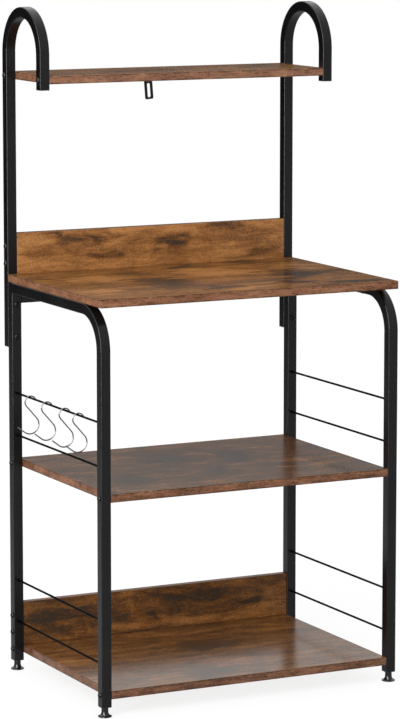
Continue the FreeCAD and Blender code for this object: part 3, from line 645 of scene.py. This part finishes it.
low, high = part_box("rear_crossbar")
bar_y, bar_z = (low.y + high.y) / 2, (low.z + high.z) / 2
tube("rear_crossbar", [(low.x, bar_y, bar_z), (high.x, bar_y, bar_z)])

# %% [markdown]
# The guard wires are plain round rods welded between the legs. A second tree sweeps a circle along a
# line. An attribute on the line's points scales the circle, so that a wire can swell into a small weld
# bead at each end, where it meets the tube. The hooks further down are swept by the same tree.

# %% Wire tree
WIRE_SIDES = 24
inputs = {"Diameter": (FLOAT, None), "Sides": (INTEGER, WIRE_SIDES)}
wire_tree, entry, leave = new_shape_tree("round_wire", inputs)
way = add(wire_tree, "GeometryNodeMeshToCurve", {"Mesh": entry.outputs["Geometry"]}).outputs["Curve"]
radius = maths(wire_tree, "MULTIPLY", entry.outputs["Diameter"], 0.5)
values = {"Resolution": entry.outputs["Sides"], "Radius": radius}
ring = add(wire_tree, "GeometryNodeCurvePrimitiveCircle", values).outputs["Curve"]
swell = add(wire_tree, "GeometryNodeInputNamedAttribute", {"Name": "swell"}, data_type="FLOAT")
values = {"Curve": way, "Profile Curve": ring, "Scale": swell.outputs["Attribute"], "Fill Caps": True}
close_tree(wire_tree, add(wire_tree, "GeometryNodeCurveToMesh", values).outputs["Mesh"], entry, leave)


def wire(name, points, swells, diameter, material):
    """A round wire through points; swells scale its thickness point by point."""
    made = mesh_object(name, points, [(i, i + 1) for i in range(len(points) - 1)])
    layer = made.data.attributes.new("swell", "FLOAT", "POINT")
    layer.data.foreach_set("value", swells)
    return grow(made, wire_tree, {"Diameter": diameter, "Material": material})


print("Wire tree ready")

# %% Guard wires
BEAD_LENGTH = 0.0022
BEAD_SWELL = 1.45
BEAD_STEPS = 5


def guard_wire(node):
    """One guard wire with a weld bead at each end."""
    low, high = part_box(node)
    x, z = (low.x + high.x) / 2, (low.z + high.z) / 2
    bead = []
    for step in range(BEAD_STEPS + 1):
        share = step / BEAD_STEPS
        bead.append((share * BEAD_LENGTH, 1 + (BEAD_SWELL - 1) * (1 - share) ** 2))
    run = [(low.y + away, swell) for away, swell in bead]
    run += [(high.y - away, swell) for away, swell in reversed(bead)]
    points, swells = [(x, y, z) for y, _ in run], [swell for _, swell in run]
    hand_over(wire(f"{node}_rod", points, swells, high.z - low.z, wire_black), "root", "wire_steel", node)


for side in SIDES:
    for bay in ("middle", "bottom"):
        for level in ("low", "high"):
            guard_wire(f"{side}_{bay}_{level}_guard_wire")

# %% [markdown]
# A board is cut square, but its printed skin wraps over slightly soft edges. Each board is a box whose
# edges are rounded with a fine bevel; area-weighted normals keep its faces flat. The table gives each
# board what its finish takes: gloss, streaks, the tone of its faces and of its edges, and patches. Those
# are its clouds, knots and golden spots, measured from its middle, and a minus sign makes one lighter.
# The shelves shine differently because each mirrors another height of the room.

# %% Boards
EDGE_ROUNDING = 0.0009
BEVEL_STEPS = 3
SEED_STEPS = (3.7, 1.3, 2.1)
BOARDS = {
    "top_shelf": (0.32, 0.4, 0.6, 0.6, [(-0.05, 0.0, 0.12, 0.05, 0.3), (0.2, 0.02, 0.08, 0.06, 0.3)]),
    "upper_back_board": (0.2, 0.8, 0.77, 0.6, [
        (-0.21, 0.0, 0.15, 0.1, 0.1),
        (-0.21, 0.035, 0.014, 0.007, 0.55),
        (-0.14, 0.02, 0.075, 0.024, 0.35),
        (-0.17, 0.027, 0.03, 0.013, 0.25),
        (-0.11, 0.02, 0.025, 0.013, 0.35),
        (-0.095, -0.007, 0.03, 0.016, 0.4),
        (-0.235, 0.006, 0.04, 0.016, 0.25),
        (0.045, 0.007, 0.045, 0.017, 0.6),
        (0.015, 0.01, 0.1, 0.01, 0.3),
        (0.055, -0.006, 0.08, 0.018, 0.25),
        (0.13, 0.037, 0.045, 0.01, 0.45),
        (0.175, 0.034, 0.02, 0.011, 0.4),
        (0.16, 0.02, 0.08, 0.02, 0.25),
        (0.215, -0.012, 0.035, 0.024, 0.4),
        (0.247, -0.02, 0.022, 0.011, 0.35),
        (-0.055, 0.032, 0.045, 0.012, -0.3),
        (0.03, 0.037, 0.04, 0.01, -0.3),
        (0.23, 0.032, 0.03, 0.01, -0.25),
        (-0.19, -0.015, 0.09, 0.014, -0.2),
    ]),
    "worktop": (0.04, 0.85, 0.49, 0.62, [
        (-0.28, 0.125, 0.03, 0.025, 0.5),
        (-0.095, -0.035, 0.045, 0.1, 0.8),
        (-0.08, 0.12, 0.045, 0.03, 0.6),
        (0.04, 0.15, 0.045, 0.03, 0.6),
        (0.18, 0.19, 0.06, 0.03, 0.6),
        (0.17, -0.02, 0.045, 0.07, 0.7),
        (0.115, -0.11, 0.04, 0.05, 0.7),
        (0.23, -0.03, 0.08, 0.03, 0.5),
        (0.23, -0.165, 0.07, 0.025, 0.6),
        (-0.035, -0.13, 0.045, 0.04, 0.6),
        (-0.25, -0.1, 0.06, 0.05, -0.7),
        (0.055, 0.055, 0.09, 0.06, -0.7),
        (-0.18, 0.06, 0.06, 0.05, -0.6),
        (0.24, 0.08, 0.06, 0.05, -0.4),
        (0.02, -0.17, 0.06, 0.03, -0.5),
    ]),
    "middle_shelf": (0.19, 0.35, 0.22, 0.53, [
        (-0.037, 0.068, 0.06, 0.08, 0.4),
        (0.093, 0.038, 0.04, 0.07, 0.55),
        (0.0, -0.09, 0.045, 0.04, 0.5),
        (-0.185, -0.09, 0.04, 0.06, 0.45),
        (0.28, 0.015, 0.035, 0.022, 0.45),
        (-0.265, 0.055, 0.025, 0.016, 0.5),
        (-0.245, -0.02, 0.025, 0.016, 0.5),
        (-0.255, -0.185, 0.03, 0.03, -0.4),
        (0.2, -0.1, 0.06, 0.05, -0.2),
    ]),
    "lower_back_board": (0.1, 0.85, 0.29, 0.5, [
        (-0.2, 0.0, 0.16, 0.08, 0.16),
        (0.085, 0.018, 0.11, 0.014, 0.35),
        (-0.24, 0.009, 0.055, 0.014, 0.35),
        (-0.005, -0.01, 0.02, 0.01, 0.4),
        (0.21, -0.007, 0.018, 0.009, 0.5),
        (-0.015, -0.03, 0.26, 0.009, -0.35),
    ]),
    "bottom_shelf": (0.27, 0.55, 0.33, 0.42, [
        (-0.06, -0.155, 0.08, 0.055, 0.35),
        (0.02, 0.03, 0.1, 0.04, 0.3),
        (-0.25, 0.035, 0.05, 0.055, -0.3),
    ]),
}


def board(node, seed, upright):
    """One board with softened edges."""
    low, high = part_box(node)
    place = Matrix.Translation((low + high) / 2) @ Matrix.Diagonal((*(high - low), 1))
    work = bmesh.new()
    bmesh.ops.create_cube(work, size=1.0, matrix=place)
    rounding = {"offset": EDGE_ROUNDING, "segments": BEVEL_STEPS, "profile": 0.5, "affect": "EDGES"}
    bmesh.ops.bevel(work, geom=work.edges[:], **rounding)
    made = mesh_object(f"{node}_board", [])
    work.to_mesh(made.data)
    work.free()
    made.data.materials.append(board_finish(node, upright, seed, *BOARDS[node]))
    hand_over(made, "root", "wood", node)


for number, node in enumerate(BOARDS):
    board(node, tuple(number * step for step in SEED_STEPS), node.endswith("back_board"))

# %% [markdown]
# Screws, nuts, feet and plugs are turned or moulded parts. One helper stacks rings of equal point
# count, each a circle, a hexagon or a rounded square, and closes both ends. That covers a domed head
# with its hexagon socket as well as a trumpet-shaped foot.

# %% Stacked rings
RING_POINTS = 48


def polar(reach, angle):
    """The point at a reach and an angle from the middle."""
    return reach * math.cos(angle), reach * math.sin(angle)


def circle(radius):
    """Points of a circle."""
    return [polar(radius, math.tau * i / RING_POINTS) for i in range(RING_POINTS)]


def hexagon(width):
    """Points around a hexagon of the given width across its flats."""
    points = []
    for i in range(RING_POINTS):
        angle = math.tau * i / RING_POINTS
        reach = width / 2 / math.cos((angle + math.pi / 6) % (math.pi / 3) - math.pi / 6)
        points.append(polar(reach, angle))
    return points


def rounded_square(side, radius):
    """Points around a square with rounded corners."""
    per_corner = RING_POINTS // 4
    points = []
    for corner in range(4):
        middle = math.tau * (corner + 0.5) / 4
        centre = (side / 2 - radius) * math.sqrt(2)
        for i in range(per_corner):
            angle = middle + (i / (per_corner - 1) - 0.5) * math.pi / 2
            points.append((
                centre * math.cos(middle) + radius * math.cos(angle),
                centre * math.sin(middle) + radius * math.sin(angle),
            ))
    return points


def stack(name, rings):
    """A closed skin over rings given as (height, points), from the bottom of the outside to its end."""
    points, faces = [], []
    for height, ring in rings:
        points += [(x, y, height) for x, y in ring]
    for level in range(len(rings) - 1):
        start = level * RING_POINTS
        for i in range(RING_POINTS):
            j = (i + 1) % RING_POINTS
            faces.append((start + i, start + j, start + RING_POINTS + j, start + RING_POINTS + i))
    faces.append(tuple(reversed(range(RING_POINTS))))
    last = (len(rings) - 1) * RING_POINTS
    faces.append(tuple(range(last, last + RING_POINTS)))
    return mesh_object(name, points, (), faces)


print("Ring helper ready")

# %% [markdown]
# The unit is held by some thirty screws, bolts and nuts of a few kinds. Each kind is modelled once, and
# a geometry tree sets a copy on every spot, turned to face outwards and spun by a random amount about
# its own axis, because no two screws stop at the same angle.

# %% Fastener tree
inputs = {"Fastener": (OBJECT, None), "Spin seed": (INTEGER, None)}
fastener_tree, entry, leave = new_shape_tree("fasteners_on_spots", inputs)
facing = add(fastener_tree, "GeometryNodeInputNamedAttribute", {"Name": "facing"}, data_type="FLOAT_VECTOR")
values = {"Vector": facing.outputs["Attribute"]}
aimed = add(fastener_tree, "FunctionNodeAlignRotationToVector", values, axis="Z").outputs["Rotation"]
values = {2: 0.0, 3: math.tau, "Seed": entry.outputs["Spin seed"]}
angle = add(fastener_tree, "FunctionNodeRandomValue", values, data_type="FLOAT").outputs[1]
values = {"Axis": (0, 0, 1), "Angle": angle}
spin = add(fastener_tree, "FunctionNodeAxisAngleToRotation", values).outputs["Rotation"]
values = {"Rotation": aimed, "Rotate By": spin}
turned = add(fastener_tree, "FunctionNodeRotateRotation", values, rotation_space="LOCAL").outputs["Rotation"]
values = {"Object": entry.outputs["Fastener"]}
master = add(fastener_tree, "GeometryNodeObjectInfo", values).outputs["Geometry"]
values = {"Points": entry.outputs["Geometry"], "Instance": master, "Rotation": turned}
copies = add(fastener_tree, "GeometryNodeInstanceOnPoints", values).outputs["Instances"]
close_tree(fastener_tree, copies, entry, leave)
print("Fastener tree ready")

# %% Fastener kinds
DOME_STEPS = 7
RIM_SHARE, DOME_SHARE = 0.25, 0.45
POINTED, BLUNT = 0.3, 0.8


def headed_screw(name, shank, length, head, height, socket, socket_depth, tip=POINTED):
    """A domed screw with a hexagon socket; its head sits on z = 0 and its shank points down."""
    body, taper = circle(shank / 2), shank * (1 - tip)
    rings = [(-length, circle(shank / 2 * tip)), (taper - length, body), (0, body)]
    rim = height * RIM_SHARE
    rings += [(0, circle(head / 2)), (rim, circle(head / 2))]
    for step in range(1, DOME_STEPS + 1):
        share = step / DOME_STEPS
        radius = head / 2 * (1 - DOME_SHARE * share)
        rings.append((rim + (height - rim) * math.sin(share * math.pi / 2), circle(radius)))
    rings += [(height, hexagon(socket)), (height - socket_depth, hexagon(socket))]
    return stack(name, rings)


NUT_CHAMFER_SHARE, NUT_FACE_SHARE = 0.12, 0.97


def hexagon_nut(name, width, thickness, bore):
    """A hexagon nut with chamfered corners that lies on z = 0; the bolt's end closes its bore half way."""
    chamfer = thickness * NUT_CHAMFER_SHARE
    face = circle(width / 2 * NUT_FACE_SHARE)
    rings = [(0, face), (chamfer, hexagon(width)), (thickness - chamfer, hexagon(width)), (thickness, face)]
    rings += [(thickness, circle(bore / 2)), (thickness / 2, circle(bore / 2))]
    return stack(name, rings)


def box_size(node):
    """A node's lowest and highest corners and its size."""
    low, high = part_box(node)
    return low, high, high - low


def fasten(node, master, spots, material, slot, seed):
    """Sets copies of a fastener on spots, given as (place, direction)."""
    made = mesh_object(f"{node}_set", [spot for spot, _ in spots])
    layer = made.data.attributes.new("facing", "FLOAT_VECTOR", "POINT")
    layer.data.foreach_set("vector", [part for _, facing in spots for part in facing])
    made = grow(made, fastener_tree, {"Fastener": master, "Spin seed": seed, "Material": material})
    hand_over(made, "root", slot, node)


print("Fastener kinds ready")

# %% End screws
END_HEAD_HEIGHT, END_SHANK, END_GRIP, END_SOCKET, END_SOCKET_DEPTH = 0.003, 0.005, 0.035, 0.003, 0.0016
low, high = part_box("middle_shelf_screws")
outer_x = high.x - END_HEAD_HEIGHT
head_size = high.z - low.z
end_screw = headed_screw(
    "end_screw", END_SHANK, tube_side + END_GRIP, head_size, END_HEAD_HEIGHT, END_SOCKET, END_SOCKET_DEPTH
)


def end_screws(node, seed):
    """The screws of one board, on both sides: two heights at one depth, or two depths at one height."""
    low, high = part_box(node)
    ys = sorted({round(low.y + head_size / 2, 5), round(high.y - head_size / 2, 5)})
    zs = sorted({round(low.z + head_size / 2, 5), round(high.z - head_size / 2, 5)})
    spots = [((outer_x * sign, y, z), (sign, 0, 0)) for y in ys for z in zs for sign in SIDES.values()]
    fasten(node, end_screw, spots, screw_black, "black_fasteners", seed)


SCREWED = ("bottom_shelf", "middle_shelf", "top_shelf", "lower_back_board", "upper_back_board")
for seed, name in enumerate(SCREWED, start=3):
    end_screws(f"{name}_screws", seed)

# %% Post bolts and their nuts
BOLT_HEAD_HEIGHT, BOLT_DIAMETER, BOLT_SOCKET, BOLT_SOCKET_DEPTH = 0.0033, 0.006, 0.004, 0.0018
NUT_WIDTH = 0.010
low, high, size = box_size("post_bolts")
bolt_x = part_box("right_rear_leg")[0].x + tube_half
bolt_head = 2 * (high.x - bolt_x)
bolt_spots = [
    ((sign * bolt_x, low.y + BOLT_HEAD_HEIGHT, z), (0, -1, 0))
    for sign in SIDES.values()
    for z in (low.z + bolt_head / 2, high.z - bolt_head / 2)
]
bolt = headed_screw(
    "post_bolt", BOLT_DIAMETER, size.y - BOLT_HEAD_HEIGHT,
    bolt_head, BOLT_HEAD_HEIGHT, BOLT_SOCKET, BOLT_SOCKET_DEPTH, BLUNT,
)
fasten("post_bolts", bolt, bolt_spots, screw_black, "black_fasteners", seed=11)
low, high, size = box_size("post_nuts")
nut = hexagon_nut("post_nut", NUT_WIDTH, size.y, BOLT_DIAMETER)
nut_spots = [((x, low.y, z), (0, 1, 0)) for (x, _, z), _ in bolt_spots]
fasten("post_nuts", nut, nut_spots, zinc, "zinc_steel", seed=12)

# %% Worktop screws and the strap's screw
ZINC_SHANK, ZINC_HEAD, ZINC_HEAD_HEIGHT, ZINC_SOCKET, ZINC_SOCKET_DEPTH = 0.004, 0.008, 0.0024, 0.0025, 0.0013


def zinc_screw(name, overall, head):
    """A small screw of the given overall length and head."""
    length = overall - ZINC_HEAD_HEIGHT
    return headed_screw(name, ZINC_SHANK, length, head, ZINC_HEAD_HEIGHT, ZINC_SOCKET, ZINC_SOCKET_DEPTH)


low, high, size = box_size("worktop_screws")
worktop_screw = zinc_screw("worktop_screw", size.z, ZINC_HEAD)
spots = [
    ((sign * (high.x - ZINC_HEAD / 2), y, low.z + ZINC_HEAD_HEIGHT), (0, 0, -1))
    for sign in SIDES.values()
    for y in (low.y + ZINC_HEAD / 2, high.y - ZINC_HEAD / 2)
]
fasten("worktop_screws", worktop_screw, spots, zinc, "zinc_steel", seed=13)
low, high, size = box_size("wall_strap_screw")
strap_screw = zinc_screw("strap_screw", size.y, size.x)
spot = ((low.x + high.x) / 2, high.y - ZINC_HEAD_HEIGHT, (low.z + high.z) / 2)
fasten("wall_strap_screw", strap_screw, [(spot, (0, 1, 0))], zinc, "zinc_steel", seed=14)
for master in (end_screw, bolt, nut, worktop_screw, strap_screw):
    bpy.data.objects.remove(master)

# %% [markdown]
# Plugs close the tube ends that show: a flange as wide as the tube is seen, and a stem grips inside.
# The feet are moulded in one piece, a slim neck that flares into a round base, around threaded studs.
# All are stacked at the origin and then set down where their node stands.

# %% Plugs
FLANGE = 0.0015
FLANGE_ROUNDING = 0.0004
STEM_PLAY, STEM_ROUNDING = 0.0022, 0.0005


def set_down(made, node, material, body, slot):
    """Moves a stacked piece onto its node's place and hands it over in its material."""
    low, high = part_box(node)
    made.data.transform(Matrix.Translation(((low.x + high.x) / 2, (low.y + high.y) / 2, low.z)))
    made.data.materials.append(material)
    hand_over(made, body, slot, node)


def plug(node):
    """A plug with a softly rounded flange at its lower end."""
    size = box_size(node)[2]
    flange = rounded_square(size.x, CORNER_RADIUS)
    stem = rounded_square(size.x - STEM_PLAY, STEM_ROUNDING)
    rings = [(0, rounded_square(size.x - FLANGE_ROUNDING * 2, CORNER_RADIUS - FLANGE_ROUNDING))]
    rings += [(FLANGE_ROUNDING, flange), (FLANGE, flange), (FLANGE, stem), (size.z, stem)]
    set_down(stack(f"{node}_plug", rings), node, plastic_black, "root", "black_plastic")


for side in SIDES:
    for node in ("front_leg_insert", "rear_leg_insert", "post_end_cap", "arch_tip_cap"):
        plug(f"{side}_{node}")

# %% Feet and studs
FOOT_NECK, FOOT_NECK_LENGTH, FOOT_RIM = 0.0125, 0.007, 0.0025
NECK_CHAMFER = 0.0006
FLARE_STEPS = 10
RIM_STEPS = 5
THREAD_PITCH, THREAD_DEPTH = 0.00125, 0.0006
THREAD_STEPS = 4


def foot(node, body):
    """A trumpet-shaped foot with a rolled rim."""
    size = box_size(node)[2]
    base, neck, rim = size.x / 2, FOOT_NECK / 2, FOOT_RIM / 2
    rings = []
    for step in range(RIM_STEPS * 2 + 1):
        angle = math.pi * (step / (RIM_STEPS * 2) - 0.5)
        rings.append((rim + rim * math.sin(angle), circle(base - rim + rim * math.cos(angle))))
    neck_z = size.z - FOOT_NECK_LENGTH
    for step in range(1, FLARE_STEPS + 1):
        angle = math.pi / 2 * step / FLARE_STEPS
        radius = base - rim - (base - rim - neck) * math.sin(angle)
        rings.append((FOOT_RIM + (neck_z - FOOT_RIM) * (1 - math.cos(angle)), circle(radius)))
    rings += [(size.z - NECK_CHAMFER, circle(neck)), (size.z, circle(neck - NECK_CHAMFER))]
    set_down(stack(f"{node}_shell", rings), node, plastic_black, body, "black_plastic")


def stud(node, body):
    """A threaded stud whose ridge winds up around it."""
    size = box_size(node)[2]
    rings = []
    levels = int(size.z / THREAD_PITCH * THREAD_STEPS)
    for level in range(levels + 1):
        z = size.z * level / levels
        end = min(1, (size.z - z) / THREAD_PITCH)
        ring = []
        for i in range(RING_POINTS):
            phase = (z / THREAD_PITCH - i / RING_POINTS) % 1
            reach = size.x / 2 - THREAD_DEPTH * (abs(phase * 2 - 1) * end + (1 - end))
            ring.append(polar(reach, math.tau * i / RING_POINTS))
        rings.append((z, ring))
    set_down(stack(f"{node}_thread", rings), node, zinc, body, "zinc_steel")


for side in SIDES:
    for end in ("front", "rear"):
        foot(f"{side}_{end}_foot_pad", f"{side}_{end}_foot")
        stud(f"{side}_{end}_foot_stud", f"{side}_{end}_foot")

# %% [markdown]
# The S-hooks are bent from chromed wire: a tight upper bend over the guard wire, a straight slant, a
# wide lower bend and a straight tip that kicks outwards. Each is drawn around the pivot of its joint as
# arcs and lines with the same radii as the frame's hooks, leaned a little as it hangs in balance.

# %% Hooks
HOOK_WIRE = 0.0025
HOOK_UPPER, HOOK_LOWER, HOOK_CENTRES = 0.011, 0.0175, 0.0423
HOOK_LIP_RISE, HOOK_TIP_DROP, HOOK_TIP = 0.0038, 0.0143, 0.017
HOOK_APEX = 0.00355
HOOK_LEAN = math.radians(1.40)
ARC_STEP = math.radians(6)


def arc(centre_x, centre_z, radius, start, end):
    """Points of an arc in the hook's plane."""
    count = max(2, round(abs(end - start) / ARC_STEP))
    angles = [start + (end - start) * i / count for i in range(count + 1)]
    return [(centre_x + radius * math.cos(a), centre_z + radius * math.sin(a)) for a in angles]


def hook(number):
    """One S-hook on the guard wire."""
    node = f"s_hook_{number}"
    joint = next(j for j in frame["joints"] if j["child"] == f"hook_{number}")
    pivot = Vector(joint["pos_m"])
    upper_z = HOOK_APEX - HOOK_UPPER
    lower_z = upper_z - HOOK_CENTRES
    slant = math.asin((HOOK_UPPER + HOOK_LOWER) / HOOK_CENTRES)
    line = arc(0, upper_z, HOOK_UPPER, math.asin(HOOK_LIP_RISE / HOOK_UPPER), math.pi + slant)
    turn = math.pi + math.asin(HOOK_TIP_DROP / HOOK_LOWER)
    line += arc(0, lower_z, HOOK_LOWER, slant, turn - math.tau)
    end_x, end_z = line[-1]
    tip = Vector((-HOOK_TIP_DROP, math.sqrt(HOOK_LOWER**2 - HOOK_TIP_DROP**2))) / HOOK_LOWER
    line.append((end_x + tip.x * HOOK_TIP, end_z + tip.y * HOOK_TIP))
    cosine, sine = math.cos(HOOK_LEAN), math.sin(HOOK_LEAN)
    points = [(pivot.x + x * cosine + z * sine, pivot.y, pivot.z - x * sine + z * cosine) for x, z in line]
    made = wire(f"{node}_wire", points, [1.0] * len(points), HOOK_WIRE, chrome)
    hand_over(made, f"hook_{number}", "chrome", node)


for number in range(1, 5):
    hook(number)

# %% [markdown]
# The wall strap is a stamped strip with a long slot. Its solid in the frame already has the right
# outline, so a copy of it is cleaned of doubled points and flat seams, and gets a fine bevel and the
# black coat. A hair of play in front of it lets it turn past the rear edge of the top shelf without
# rubbing.

# %% Wall strap
STRAP_BEVEL, STRAP_BEVEL_STEPS = 0.0002, 2
STRAP_PLAY = 0.0001
SAME_POINT, FLAT_ANGLE = 1e-6, math.radians(1)
strap = mesh_object("wall_strap_strip", [])
work = bmesh.new()
work.from_mesh(frame["nodes"]["wall_strap"].data)
bmesh.ops.remove_doubles(work, verts=work.verts, dist=SAME_POINT)
bmesh.ops.dissolve_limit(work, angle_limit=FLAT_ANGLE, verts=work.verts, edges=work.edges)
low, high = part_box("wall_strap")
for point in work.verts:
    point.co.y += STRAP_PLAY * (high.y - point.co.y) / (high.y - low.y)
work.to_mesh(strap.data)
work.free()
strap.data.materials.clear()
strap.data.materials.append(powder_black)
bevel = strap.modifiers.new("stamped_edge", "BEVEL")
bevel.width = STRAP_BEVEL
bevel.segments = STRAP_BEVEL_STEPS
bevel.limit_method = "ANGLE"
bevel.angle_limit = SHARP_ANGLE
hand_over(settle(strap), "strap", "strap_steel", "wall_strap")

# %% Sizes
low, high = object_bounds()
print("Visual box", [round(v, 4) for v in (*low, *high)])
